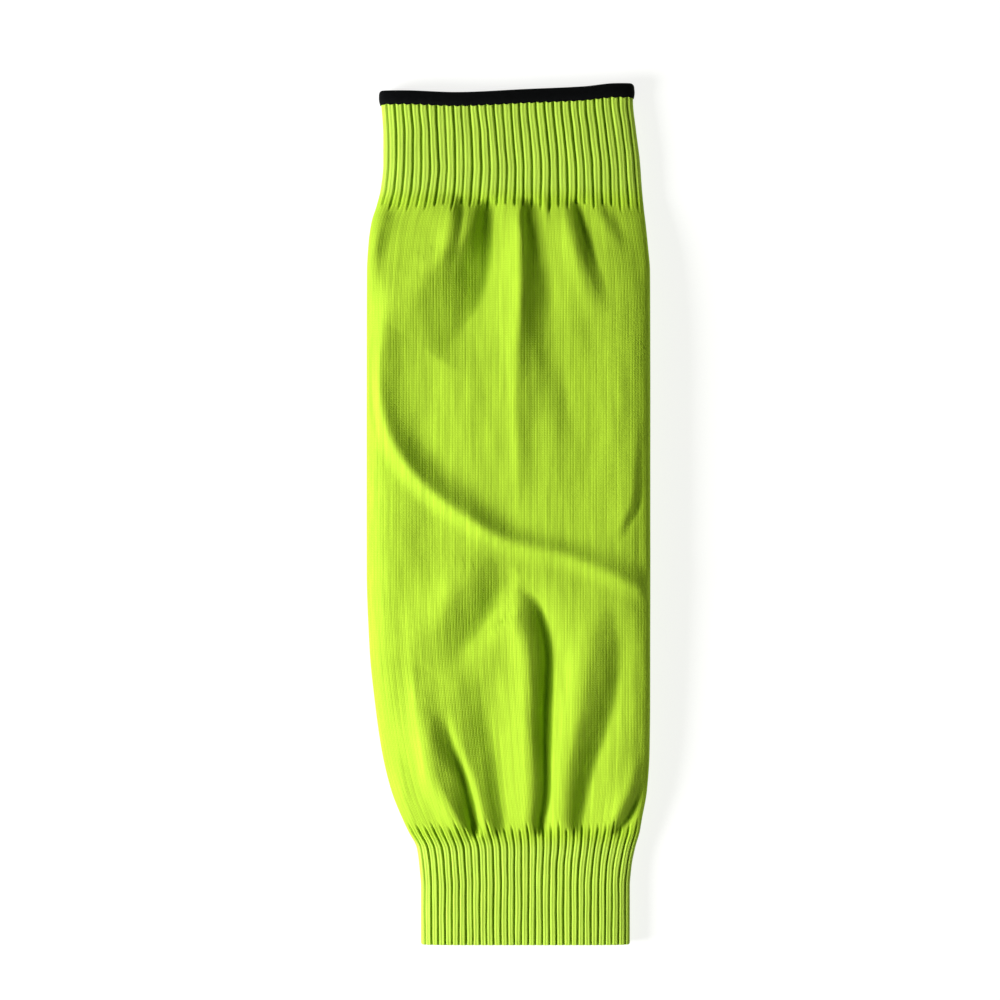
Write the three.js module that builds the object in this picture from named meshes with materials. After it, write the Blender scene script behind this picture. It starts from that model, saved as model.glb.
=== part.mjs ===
// A knitted cut resistant sleeve, laid flat: a plain knitted tube gathered onto a ribbed
// cuff at each end, with a dark overlocked binding over the rim of the upper cuff.
// Millimetres. X runs across the sleeve and Y along it, with the bound end at +Y, and Z
// is up from the surface that it lies on. The origin is under the middle of its outline.
import * as THREE from "three";

// Lengths along the sleeve
const SLEEVE_LENGTH = 457;
const BINDING_HEIGHT = 7.4;
const UPPER_CUFF_LENGTH = 54;
const LOWER_CUFF_LENGTH = 60;
const BOUND_EDGE_RISE = 5; // how far the bound edge runs askew and waves, end to end
const JOINT_GAP = 0.3;

// Widths across the laid sleeve, and how far each cuff sits right of the body's middle
const BODY_WIDTH = 150;
const UPPER_CUFF_WIDTH = 135;
const LOWER_CUFF_WIDTH = 111;
const UPPER_CUFF_SHIFT = 1;
const LOWER_CUFF_SHIFT = 9;

// Laid heights, from the surface to the top of the upper layer
const BODY_HEIGHT = 27;
const UPPER_CUFF_HEIGHT = 15;
const LOWER_CUFF_HEIGHT = 13;

// The knitted wall, its ribs and its folds
const BODY_WALL = 1.5;
const CUFF_WALL = 1.5;
const RIB_COUNT = 64;
const RIB_DEPTH = 1.1;
const FOLD_DEPTH = 8.5; // the deepest gather of the upper layer
const UNDER_PLEAT_DEPTH = 1.6; // of the pleats that the gathers make underneath
const UNDER_PLEAT_COUNT = 9;
const UNDER_PLEAT_REACH = 42;
const GATHER_NARROW = 0.6; // a fold's width beside a cuff, as a share of its full width
const GATHER_REACH = 35; // how far from a cuff a fold gets its full width

// The binding, a folded strip of overlock yarn round the rim
const BINDING_WALL = 0.9;
const BINDING_PROUD = 0.4; // how far it stands out past the crests of the ribs
const BINDING_CLEARANCE = 0.3;
const BINDING_ROUND = 1.2;

const YARN = { color: new THREE.Color(0.6, 0.85, 0.06), roughness: 0.9, metalness: 0 };
const DARK_YARN = { color: new THREE.Color(0.012, 0.013, 0.016), roughness: 0.75, metalness: 0 };

// The laid outline, from the bound end down. at is a share of the zone's length. left,
// right and height are shares of the zone's half width and laid height.
const OUTLINE = [
  { zone: "upper", at: 0.0, left: 1.03, right: 0.97, height: 0.9 },
  { zone: "upper", at: 0.14, left: 1.03, right: 0.97, height: 0.93 },
  { zone: "upper", at: 0.4, left: 0.99, right: 0.99, height: 0.97 },
  { zone: "upper", at: 0.65, left: 0.985, right: 1.02, height: 1.0 },
  { zone: "upper", at: 0.87, left: 1.0, right: 1.035, height: 1.0 },
  { zone: "body", at: 0.0, left: 0.93, right: 0.955, height: 0.55 },
  { zone: "body", at: 0.03, left: 0.97, right: 0.97, height: 0.67 },
  { zone: "body", at: 0.065, left: 0.99, right: 0.985, height: 0.82 },
  { zone: "body", at: 0.11, left: 1.0, right: 1.0, height: 0.95 },
  { zone: "body", at: 0.18, left: 1.0, right: 1.0, height: 1.0 },
  { zone: "body", at: 0.58, left: 1.0, right: 1.0, height: 1.0 },
  { zone: "body", at: 0.71, left: 0.98, right: 1.0, height: 0.96 },
  { zone: "body", at: 0.79, left: 0.945, right: 1.0, height: 0.91 },
  { zone: "body", at: 0.87, left: 0.895, right: 0.997, height: 0.85 },
  { zone: "body", at: 0.933, left: 0.83, right: 0.98, height: 0.74 },
  { zone: "body", at: 0.98, left: 0.745, right: 0.945, height: 0.58 },
  { zone: "lower", at: 0.0, left: 1.14, right: 1.1, height: 1.12 },
  { zone: "lower", at: 0.15, left: 1.05, right: 1.05, height: 1.02 },
  { zone: "lower", at: 0.32, left: 1.015, right: 1.015, height: 1.0 },
  { zone: "lower", at: 0.5, left: 1.0, right: 1.0, height: 1.0 },
  { zone: "lower", at: 1.0, left: 1.0, right: 1.0, height: 0.98 },
];

// How the bound edge waves: across runs from -1 at the left edge to 1 at the right, and
// rise is a share of BOUND_EDGE_RISE about its middle.
const EDGE_WAVE = [
  { across: -1.0, rise: -0.28 },
  { across: -0.8, rise: -0.3 },
  { across: -0.4, rise: -0.5 },
  { across: 0.15, rise: -0.18 },
  { across: 0.6, rise: 0.1 },
  { across: 0.85, rise: 0.46 },
  { across: 1.0, rise: 0.5 },
];

// The folds of the upper layer. from, by and to are [across, along]: across runs from -1
// to 1 between the sleeve's edges and along from 0 to 1 down the body. depth is a share
// of FOLD_DEPTH, below 0 for a ridge. left and right are the slopes' lengths in shares of
// half the body's width, seen along the fold. fadeIn and fadeOut are shares of its length.
const FOLDS = [
  { name: "upper_gather_1", from: [-0.36, 0], by: [-0.41, 0.08], to: [-0.45, 0.16],
    depth: 0.6, left: 0.08, right: 0.05, fadeIn: 0, fadeOut: 0.5 },
  { name: "upper_gather_2", from: [-0.17, 0], by: [-0.21, 0.07], to: [-0.45, 0.2],
    depth: 0.9, left: 0.1, right: 0.06, fadeIn: 0, fadeOut: 0.6 },
  { name: "upper_gather_3", from: [0.14, 0], by: [0.21, 0.11], to: [0.19, 0.25],
    depth: 1.0, left: 0.1, right: 0.09, fadeIn: 0, fadeOut: 0.5 },
  { name: "upper_gather_4", from: [0.46, 0], by: [0.58, 0.07], to: [0.72, 0.17],
    depth: 0.78, left: 0.08, right: 0.06, fadeIn: 0, fadeOut: 0.5 },
  { name: "upper_gather_5", from: [0.3, 0], by: [0.31, 0.02], to: [0.31, 0.05],
    depth: 0.28, left: 0.04, right: 0.04, fadeIn: 0, fadeOut: 0.7 },
  { name: "upper_gather_6", from: [0.7, 0], by: [0.76, 0.03], to: [0.88, 0.06],
    depth: 0.4, left: 0.07, right: 0.07, fadeIn: 0, fadeOut: 0.5 },
  { name: "left_hollow", from: [-0.4, 0.16], by: [-0.68, 0.28], to: [-0.58, 0.42],
    depth: 0.38, left: 0.14, right: 0.3, fadeIn: 0.45, fadeOut: 0.45 },
  { name: "middle_crease", from: [0.2, 0.2], by: [0.2, 0.32], to: [0.22, 0.46],
    depth: 0.28, left: 0.09, right: 0.2, fadeIn: 0.4, fadeOut: 0.5 },
  { name: "elbow_hollow", from: [-0.72, 0.33], by: [-0.38, 0.44], to: [0.14, 0.54],
    depth: 0.55, left: 0.13, right: 0.36, fadeIn: 0.4, fadeOut: 0.3 },
  { name: "elbow_crease", from: [-0.16, 0.49], by: [0.42, 0.535], to: [0.96, 0.58],
    depth: 0.48, left: 0.11, right: 0.24, fadeIn: 0.35, fadeOut: 0.2 },
  { name: "right_hollow", from: [0.93, 0.38], by: [0.88, 0.47], to: [0.7, 0.54],
    depth: 0.5, left: 0.09, right: 0.1, fadeIn: 0.4, fadeOut: 0.3 },
  { name: "elbow_ridge", from: [-1.0, 0.38], by: [-0.48, 0.48], to: [0.1, 0.61],
    depth: -0.35, left: 0.16, right: 0.1, fadeIn: 0.2, fadeOut: 0.4 },
  { name: "left_drape", from: [0.02, 0.6], by: [-0.33, 0.65], to: [-0.48, 0.77],
    depth: 0.38, left: 0.12, right: 0.09, fadeIn: 0.2, fadeOut: 0.5 },
  { name: "side_drape", from: [-0.58, 0.69], by: [-0.62, 0.78], to: [-0.45, 0.87],
    depth: 0.3, left: 0.1, right: 0.12, fadeIn: 0.4, fadeOut: 0.3 },
  { name: "lower_gather_1", from: [-0.47, 0.82], by: [-0.42, 0.92], to: [-0.38, 1],
    depth: 0.82, left: 0.11, right: 0.06, fadeIn: 0.25, fadeOut: 0 },
  { name: "lower_gather_2", from: [-0.26, 0.79], by: [-0.2, 0.9], to: [-0.2, 1],
    depth: 0.45, left: 0.09, right: 0.05, fadeIn: 0.5, fadeOut: 0 },
  { name: "lower_gather_3", from: [0.09, 0.61], by: [0.27, 0.74], to: [0.18, 1],
    depth: 1.0, left: 0.12, right: 0.06, fadeIn: 0.16, fadeOut: 0 },
  { name: "lower_gather_4", from: [0.74, 0.65], by: [0.65, 0.83], to: [0.47, 1],
    depth: 0.85, left: 0.12, right: 0.08, fadeIn: 0.35, fadeOut: 0 },
  { name: "lower_gather_5", from: [0.93, 0.92], by: [0.88, 0.96], to: [0.81, 1],
    depth: 0.75, left: 0.08, right: 0.06, fadeIn: 0.3, fadeOut: 0 },
];

// How finely the solids are made
const RIB_STEPS = 2; // a crest and a valley
const BODY_COLUMNS = { under: 16, over: 48 };
const BODY_ROWS = 20;
const FOLD_STEPS = 14;
const SECTION_STEPS = 180;

const SIDE_LEVEL = 0.42; // where a section is widest, as a share of its height
const CROWN_POWER = 2.6; // of the upper layer's section: 2 is an ellipse
const SIDE_ROUND = 0.75; // the lower side's rounding, as a share of the section's height

// Where the zones meet, down the sleeve's middle
const upperEnd = SLEEVE_LENGTH / 2 - BOUND_EDGE_RISE / 2;
const bodyTop = upperEnd - BINDING_HEIGHT - UPPER_CUFF_LENGTH;
const lowerEnd = -SLEEVE_LENGTH / 2;
const bodyFoot = lowerEnd + LOWER_CUFF_LENGTH;
const bodyLength = bodyTop - bodyFoot;

const ZONES = {
  upper: {
    top: upperEnd,
    length: upperEnd - bodyTop,
    width: UPPER_CUFF_WIDTH,
    shift: UPPER_CUFF_SHIFT,
    height: UPPER_CUFF_HEIGHT,
  },
  body: {
    top: bodyTop,
    length: bodyLength,
    width: BODY_WIDTH,
    shift: 0,
    height: BODY_HEIGHT,
  },
  lower: {
    top: bodyFoot,
    length: LOWER_CUFF_LENGTH,
    width: LOWER_CUFF_WIDTH,
    shift: LOWER_CUFF_SHIFT,
    height: LOWER_CUFF_HEIGHT,
  },
};

function smooth(share) {
  return THREE.MathUtils.smoothstep(share, 0, 1);
}

// A smooth value at x from rows of {x, y}, in rising x, without overshooting them.
function alongRows(rows, x) {
  const last = rows.length - 1;
  if (x <= rows[0].x) return rows[0].y;
  if (x >= rows[last].x) return rows[last].y;
  const i = rows.findIndex((row) => row.x > x) - 1;
  const slope = (k) => (rows[k + 1].y - rows[k].y) / (rows[k + 1].x - rows[k].x);
  const bend = (k) => {
    if (k === 0 || k === last) return 0;
    const before = slope(k - 1);
    const after = slope(k);
    return before * after > 0 ? (2 * before * after) / (before + after) : 0;
  };
  const span = rows[i + 1].x - rows[i].x;
  const t = (x - rows[i].x) / span;
  const rise = rows[i + 1].y - rows[i].y;
  const start = bend(i) * span;
  const end = bend(i + 1) * span;
  const square = 3 * rise - 2 * start - end;
  const cube = start + end - 2 * rise;
  return rows[i].y + start * t + square * t * t + cube * t * t * t;
}

const outlineRows = OUTLINE.map((row) => {
  const zone = ZONES[row.zone];
  return {
    y: zone.top - row.at * zone.length,
    left: zone.shift - (row.left * zone.width) / 2,
    right: zone.shift + (row.right * zone.width) / 2,
    height: row.height * zone.height,
  };
});

function outlineAt(y) {
  const value = (name) => alongRows(outlineRows.map((row) => ({ x: -row.y, y: row[name] })), -y);
  return { left: value("left"), right: value("right"), height: value("height") };
}

// One laid section: flat underneath, rounded at the sides and crowned on top. It starts
// under the middle and runs to the right, over the top and back from the left.
function sectionOutline(y) {
  const { left, right, height } = outlineAt(y);
  const half = (right - left) / 2;
  const middle = (right + left) / 2;
  const side = height * SIDE_LEVEL;
  const round = Math.min(height * SIDE_ROUND, half / 2);
  const lowerSide = (toward, steps) =>
    Array.from({ length: steps }, (_, k) => {
      const turn = (k / steps) * (Math.PI / 2);
      return [middle + toward * (half - round + round * Math.sin(turn)), side * (1 - Math.cos(turn))];
    });
  const upper = Array.from({ length: SECTION_STEPS + 1 }, (_, k) => {
    const turn = (k / SECTION_STEPS) * Math.PI;
    const across = Math.sign(Math.cos(turn)) * Math.abs(Math.cos(turn)) ** (2 / CROWN_POWER);
    return [middle + half * across, side + (height - side) * Math.sin(turn) ** (2 / CROWN_POWER)];
  });
  const points = [[middle, 0], ...lowerSide(1, 24), ...upper, ...lowerSide(-1, 24).reverse(), [middle, 0]];
  return { points: points.map(([x, z]) => new THREE.Vector2(x, z)), middle, half };
}

// Points at given shares of the way round a section, inset from its outer line.
function sectionPoints(y, shares, insetAt) {
  const { points, middle, half } = sectionOutline(y);
  const reach = [0];
  for (let k = 1; k < points.length; k++) reach.push(reach[k - 1] + points[k].distanceTo(points[k - 1]));
  const total = reach[reach.length - 1];
  let k = 0;
  return shares.map((share, column) => {
    const goal = share * total;
    while (k < points.length - 2 && reach[k + 1] <= goal) k++;
    const along = points[k + 1].clone().sub(points[k]).normalize();
    const at = points[k].clone().addScaledVector(along, goal - reach[k]);
    const inset = insetAt(column);
    const x = at.x - along.y * inset;
    const z = at.y + along.x * inset;
    return { x, z, across: (at.x - middle) / half, over: share > 0.25 && share < 0.75 };
  });
}

const foldLines = FOLDS.map((fold) => {
  const place = ([across, along]) => new THREE.Vector3((across * BODY_WIDTH) / 2, -along * bodyLength, 0);
  const curve = new THREE.CatmullRomCurve3([fold.from, fold.by, fold.to].map(place));
  return { ...fold, line: curve.getPoints(FOLD_STEPS) };
});

// How far one fold lifts the upper layer at a point of the body.
function foldLift(fold, across, along) {
  const at = new THREE.Vector3((across * BODY_WIDTH) / 2, -along * bodyLength, 0);
  let best = { distance: Infinity, share: 0, left: true };
  for (let k = 0; k < FOLD_STEPS; k++) {
    const piece = new THREE.Line3(fold.line[k], fold.line[k + 1]);
    const share = piece.closestPointToPointParameter(at, true);
    const near = piece.at(share, new THREE.Vector3());
    const distance = near.distanceTo(at);
    if (distance < best.distance) {
      const way = piece.delta(new THREE.Vector3());
      const left = way.x * (at.y - near.y) - way.y * (at.x - near.x) < 0;
      best = { distance, share: (k + share) / FOLD_STEPS, left };
    }
  }
  const fromCuff = Math.min(along, 1 - along) * bodyLength;
  const narrowing = THREE.MathUtils.lerp(GATHER_NARROW, 1, smooth(fromCuff / GATHER_REACH));
  const slope = ((best.left ? fold.left : fold.right) * BODY_WIDTH * narrowing) / 2;
  const fadeIn = fold.fadeIn ? smooth(best.share / fold.fadeIn) : 1;
  const fadeOut = fold.fadeOut ? smooth((1 - best.share) / fold.fadeOut) : 1;
  return -fold.depth * FOLD_DEPTH * Math.exp(-((best.distance / slope) ** 2)) * fadeIn * fadeOut;
}

// How far all the folds move a point of the body up or down: they are the shallower, the
// lower the body lies.
function foldsAt(point, y) {
  const along = (bodyTop - y) / bodyLength;
  const fromSide = smooth((1 - Math.abs(point.across)) / 0.16);
  if (point.over) {
    const share = (deep) => smooth((deep * bodyLength) / 5);
    const near = Math.min(share(along), share(1 - along));
    const room = outlineAt(y).height / BODY_HEIGHT;
    const lift = foldLines.reduce((sum, fold) => sum + foldLift(fold, point.across, along), 0);
    return lift * fromSide * near * room;
  }
  const fromCuff = Math.min(bodyTop - y, y - bodyFoot);
  const fade = smooth(fromCuff / 6) * smooth(1 - fromCuff / UNDER_PLEAT_REACH);
  return UNDER_PLEAT_DEPTH * Math.cos((point.across * UNDER_PLEAT_COUNT * Math.PI) / 2) ** 2 * fade * fromSide;
}

// How far the bound edge pulls a point of the upper cuff along the sleeve.
function edgeWave(across, y) {
  const rise = alongRows(EDGE_WAVE.map((row) => ({ x: row.across, y: row.rise })), across);
  return BOUND_EDGE_RISE * rise * smooth((y - bodyTop) / (upperEnd - bodyTop));
}

// A ring of the wall at one place along the sleeve, pressed flat where it would go lower
// than the surface that it lies on.
function ring(y, shares, insetAt, lift = () => 0) {
  return sectionPoints(y, shares, insetAt).map((point) => {
    const wave = y > bodyTop ? edgeWave(point.across, y) : 0;
    return new THREE.Vector3(point.x, y + wave, Math.max(point.z + lift(point, y), 0));
  });
}

// A closed solid from rings that follow each other round its skin and end where they began.
function loopOfRings(rings) {
  const count = rings[0].length;
  const index = [];
  rings.forEach((_, row) => {
    const next = (row + 1) % rings.length;
    for (let column = 0; column < count; column++) {
      const beside = (column + 1) % count;
      const [a, b] = [row * count + column, row * count + beside];
      const [c, d] = [next * count + column, next * count + beside];
      index.push(a, b, c, b, d, c);
    }
  });
  const geometry = new THREE.BufferGeometry().setFromPoints(rings.flat());
  geometry.setIndex(index);
  geometry.computeVertexNormals();
  return geometry;
}

function piece(name, geometry, finish) {
  const mesh = new THREE.Mesh(geometry, new THREE.MeshStandardMaterial(finish));
  mesh.name = name;
  return mesh;
}

const ribShares = Array.from({ length: RIB_COUNT * RIB_STEPS }, (_, k) => k / (RIB_COUNT * RIB_STEPS));

// A wall of ribs: rows are {y, ribs, sunk, lined}, with ribs a share of the full relief.
// The rows that are lined have a ring on the inside of the wall too.
function ribbedWall(rows, wall) {
  const inset = ({ ribs, sunk }) => (column) => sunk + (column % RIB_STEPS) * RIB_DEPTH * ribs;
  const lined = rows.filter((row) => row.lined);
  const outer = rows.map((row) => ring(row.y, ribShares, inset(row)));
  const inner = lined.map((row) => ring(row.y, ribShares, (column) => inset(row)(column) + wall));
  return loopOfRings([...outer, ...inner.reverse()]);
}

function upperCuff() {
  const sunk = BINDING_WALL - BINDING_PROUD + BINDING_CLEARANCE;
  const rim = upperEnd - BINDING_WALL - BINDING_CLEARANCE;
  const bindingFoot = upperEnd - BINDING_HEIGHT;
  const rows = [
    { y: rim, ribs: 0, sunk, lined: true },
    { y: bindingFoot, ribs: 0, sunk, lined: true },
    { y: bindingFoot - 1.2, ribs: 1, sunk: 0 },
    { y: (bindingFoot + bodyTop) / 2, ribs: 1, sunk: 0 },
    { y: bodyTop + 5, ribs: 1, sunk: 0 },
    { y: bodyTop + JOINT_GAP / 2, ribs: 0.3, sunk: 0, lined: true },
  ];
  return ribbedWall(rows, CUFF_WALL);
}

function lowerCuff() {
  const rows = [
    { y: bodyFoot - JOINT_GAP / 2, ribs: 0.3, sunk: 0, lined: true },
    { y: bodyFoot - 5, ribs: 1, sunk: 0 },
    { y: bodyFoot - LOWER_CUFF_LENGTH * 0.3, ribs: 1, sunk: 0, lined: true },
    { y: lowerEnd, ribs: 1, sunk: 0, lined: true },
  ];
  return ribbedWall(rows, CUFF_WALL);
}

function body() {
  const { under, over } = BODY_COLUMNS;
  const spread = (from, to, count) => Array.from({ length: count }, (_, k) => from + ((to - from) * k) / count);
  const shares = [...spread(0, 0.25, under / 2), ...spread(0.25, 0.75, over), ...spread(0.75, 1, under / 2)];
  const ys = Array.from({ length: BODY_ROWS + 1 }, (_, k) => {
    const share = k / BODY_ROWS;
    const closer = share - 0.05 * Math.sin(2 * Math.PI * share); // closer together at the cuffs
    return THREE.MathUtils.lerp(bodyTop - JOINT_GAP / 2, bodyFoot + JOINT_GAP / 2, closer);
  });
  const outer = ys.map((y) => ring(y, shares, () => 0, foldsAt));
  const inner = ys.map((y) => ring(y, shares, () => BODY_WALL, foldsAt));
  return loopOfRings([...outer, ...inner.reverse()]);
}

// The binding wraps the rim: up its outside, over the edge and down its inside.
function binding() {
  const outside = -BINDING_PROUD;
  const outerFace = outside + BINDING_WALL;
  const innerFace = outerFace + CUFF_WALL + 2 * BINDING_CLEARANCE;
  const inside = innerFace + BINDING_WALL;
  const foot = upperEnd - BINDING_HEIGHT;
  const under = upperEnd - BINDING_WALL;
  const profile = [
    { inset: inside, y: foot },
    { inset: inside, y: upperEnd - BINDING_ROUND },
    { inset: (inside + outside) / 2, y: upperEnd },
    { inset: outside, y: upperEnd - BINDING_ROUND },
    { inset: outside, y: foot },
    { inset: outerFace, y: foot },
    { inset: outerFace, y: under },
    { inset: innerFace, y: under },
    { inset: innerFace, y: foot },
  ];
  return loopOfRings(profile.map(({ inset, y }) => ring(y, ribShares, () => inset)));
}

const sleeve = new THREE.Group();
sleeve.add(
  piece("edge_binding", binding(), DARK_YARN),
  piece("upper_cuff", upperCuff(), YARN),
  piece("sleeve_body", body(), YARN),
  piece("lower_cuff", lowerCuff(), YARN),
);

export default sleeve;
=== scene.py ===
"""A knitted arm sleeve laid flat: ribbed cuffs, a gathered plain body and a bound edge.

Every length is in metres. X runs across the sleeve and Y along it, with the bound edge at
+Y, and Z is up from the surface that it lies on.
"""

import math
from collections import namedtuple

import bpy
import numpy as np
from bpy.props import FloatProperty, FloatVectorProperty, IntProperty, PointerProperty
from bpy.types import Operator, Panel, PropertyGroup
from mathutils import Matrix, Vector


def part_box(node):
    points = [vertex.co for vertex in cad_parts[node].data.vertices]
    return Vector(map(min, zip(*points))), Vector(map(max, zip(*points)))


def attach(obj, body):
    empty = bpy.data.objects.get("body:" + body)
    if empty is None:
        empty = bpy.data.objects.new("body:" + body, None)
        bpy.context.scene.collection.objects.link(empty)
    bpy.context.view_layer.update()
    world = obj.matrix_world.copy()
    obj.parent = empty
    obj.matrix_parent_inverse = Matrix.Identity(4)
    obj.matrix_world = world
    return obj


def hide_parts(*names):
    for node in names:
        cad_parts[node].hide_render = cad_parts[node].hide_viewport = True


bl_info = {
    "name": "Knitted Arm Sleeve",
    "version": (1, 0, 0),
    "blender": (4, 5, 0),
    "location": "3D View > Sidebar > Sleeve",
    "description": "Knits a laid arm sleeve with ribbed cuffs, a gathered body and a bound edge",
    "category": "Object",
}

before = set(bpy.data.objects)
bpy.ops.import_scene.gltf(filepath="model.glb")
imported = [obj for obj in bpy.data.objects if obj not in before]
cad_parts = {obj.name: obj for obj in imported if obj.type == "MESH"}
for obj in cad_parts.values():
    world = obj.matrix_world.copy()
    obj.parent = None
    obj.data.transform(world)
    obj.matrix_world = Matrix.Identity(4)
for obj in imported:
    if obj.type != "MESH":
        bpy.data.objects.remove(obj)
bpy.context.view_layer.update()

MM = 0.001

# Places along the sleeve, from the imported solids
BODY_LOW, BODY_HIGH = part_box("sleeve_body")
CUFF_LOW, CUFF_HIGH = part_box("lower_cuff")
JOINT_GAP = BODY_LOW[1] - CUFF_HIGH[1]
BODY_TOP = BODY_HIGH[1] + JOINT_GAP / 2
BODY_FOOT = BODY_LOW[1] - JOINT_GAP / 2
BODY_LENGTH = BODY_TOP - BODY_FOOT
BODY_WIDTH = BODY_HIGH[0] - BODY_LOW[0]
LOWER_END = CUFF_LOW[1]
EDGE_RISE = 5 * MM  # from the lowest place of the waving bound edge to its highest
UPPER_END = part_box("edge_binding")[1][1] - EDGE_RISE / 2
BINDING_HEIGHT = 7.4 * MM

# The laid widths and heights, and how far a cuff sits right of the body's middle
Zone = namedtuple("Zone", "top length width shift height")
ZONES = {
    "upper": Zone(UPPER_END, UPPER_END - BODY_TOP, 135 * MM, 1 * MM, 15 * MM),
    "body": Zone(BODY_TOP, BODY_LENGTH, BODY_WIDTH, 0, 27 * MM),
    "lower": Zone(BODY_FOOT, BODY_FOOT - LOWER_END, 111 * MM, 9 * MM, 13 * MM),
}

# The laid outline from the bound end down, in shares of a zone's length, half width and height
Outline = namedtuple("Outline", "zone at left right height")
OUTLINE = [
    Outline("upper", 0.0, 1.03, 0.97, 0.9),
    Outline("upper", 0.14, 1.015, 0.965, 0.93),
    Outline("upper", 0.4, 1.0, 0.99, 0.97),
    Outline("upper", 0.65, 1.0, 1.02, 1.0),
    Outline("upper", 0.87, 1.02, 1.035, 1.0),
    Outline("body", 0.0, 0.93, 0.955, 0.55),
    Outline("body", 0.03, 0.97, 0.97, 0.63),
    Outline("body", 0.065, 0.99, 0.985, 0.73),
    Outline("body", 0.11, 1.0, 1.0, 0.83),
    Outline("body", 0.18, 1.0, 1.0, 0.94),
    Outline("body", 0.28, 1.0, 1.0, 1.0),
    Outline("body", 0.58, 1.0, 1.0, 1.0),
    Outline("body", 0.71, 0.98, 1.0, 0.95),
    Outline("body", 0.79, 0.945, 1.0, 0.89),
    Outline("body", 0.87, 0.895, 0.997, 0.81),
    Outline("body", 0.933, 0.83, 0.98, 0.71),
    Outline("body", 0.98, 0.75, 0.945, 0.59),
    Outline("lower", 0.0, 1.12, 1.095, 1.12),
    Outline("lower", 0.15, 1.04, 1.05, 1.02),
    Outline("lower", 0.32, 1.015, 1.015, 1.0),
    Outline("lower", 0.5, 1.0, 1.0, 1.0),
    Outline("lower", 1.0, 1.0, 1.0, 0.98),
]

# How the bound edge waves, from its left end to its right, as shares of its rise
EDGE_ACROSS = [-1.0, -0.8, -0.4, 0.15, 0.6, 0.85, 1.0]
EDGE_WAVE = [-0.28, -0.3, -0.5, -0.18, 0.1, 0.46, 0.5]

# The folds of the upper layer. Each has a crease, and a flank that climbs from it to a crest
# on the side that is right of the way along it. The cloth eases off beyond both. A row is a
# place on the crease: across in shares of half the body's width, along in shares of its
# length, the flank's width in shares of half the body's width and the climb in shares of the
# deepest. before and after are the lengths beyond the crest and the crease, crest is the
# share of the climb that stands proud, and the next two round the crest and the crease. The
# flank is steepest by the crease where lean is below 1, and by the crest where it is above.
Row = namedtuple("Row", "across along flank climb")
Fold = namedtuple("Fold", "rows before after crest crest_round crease_round lean")


def rows(*places):
    return [Row(*place) for place in places]


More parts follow.
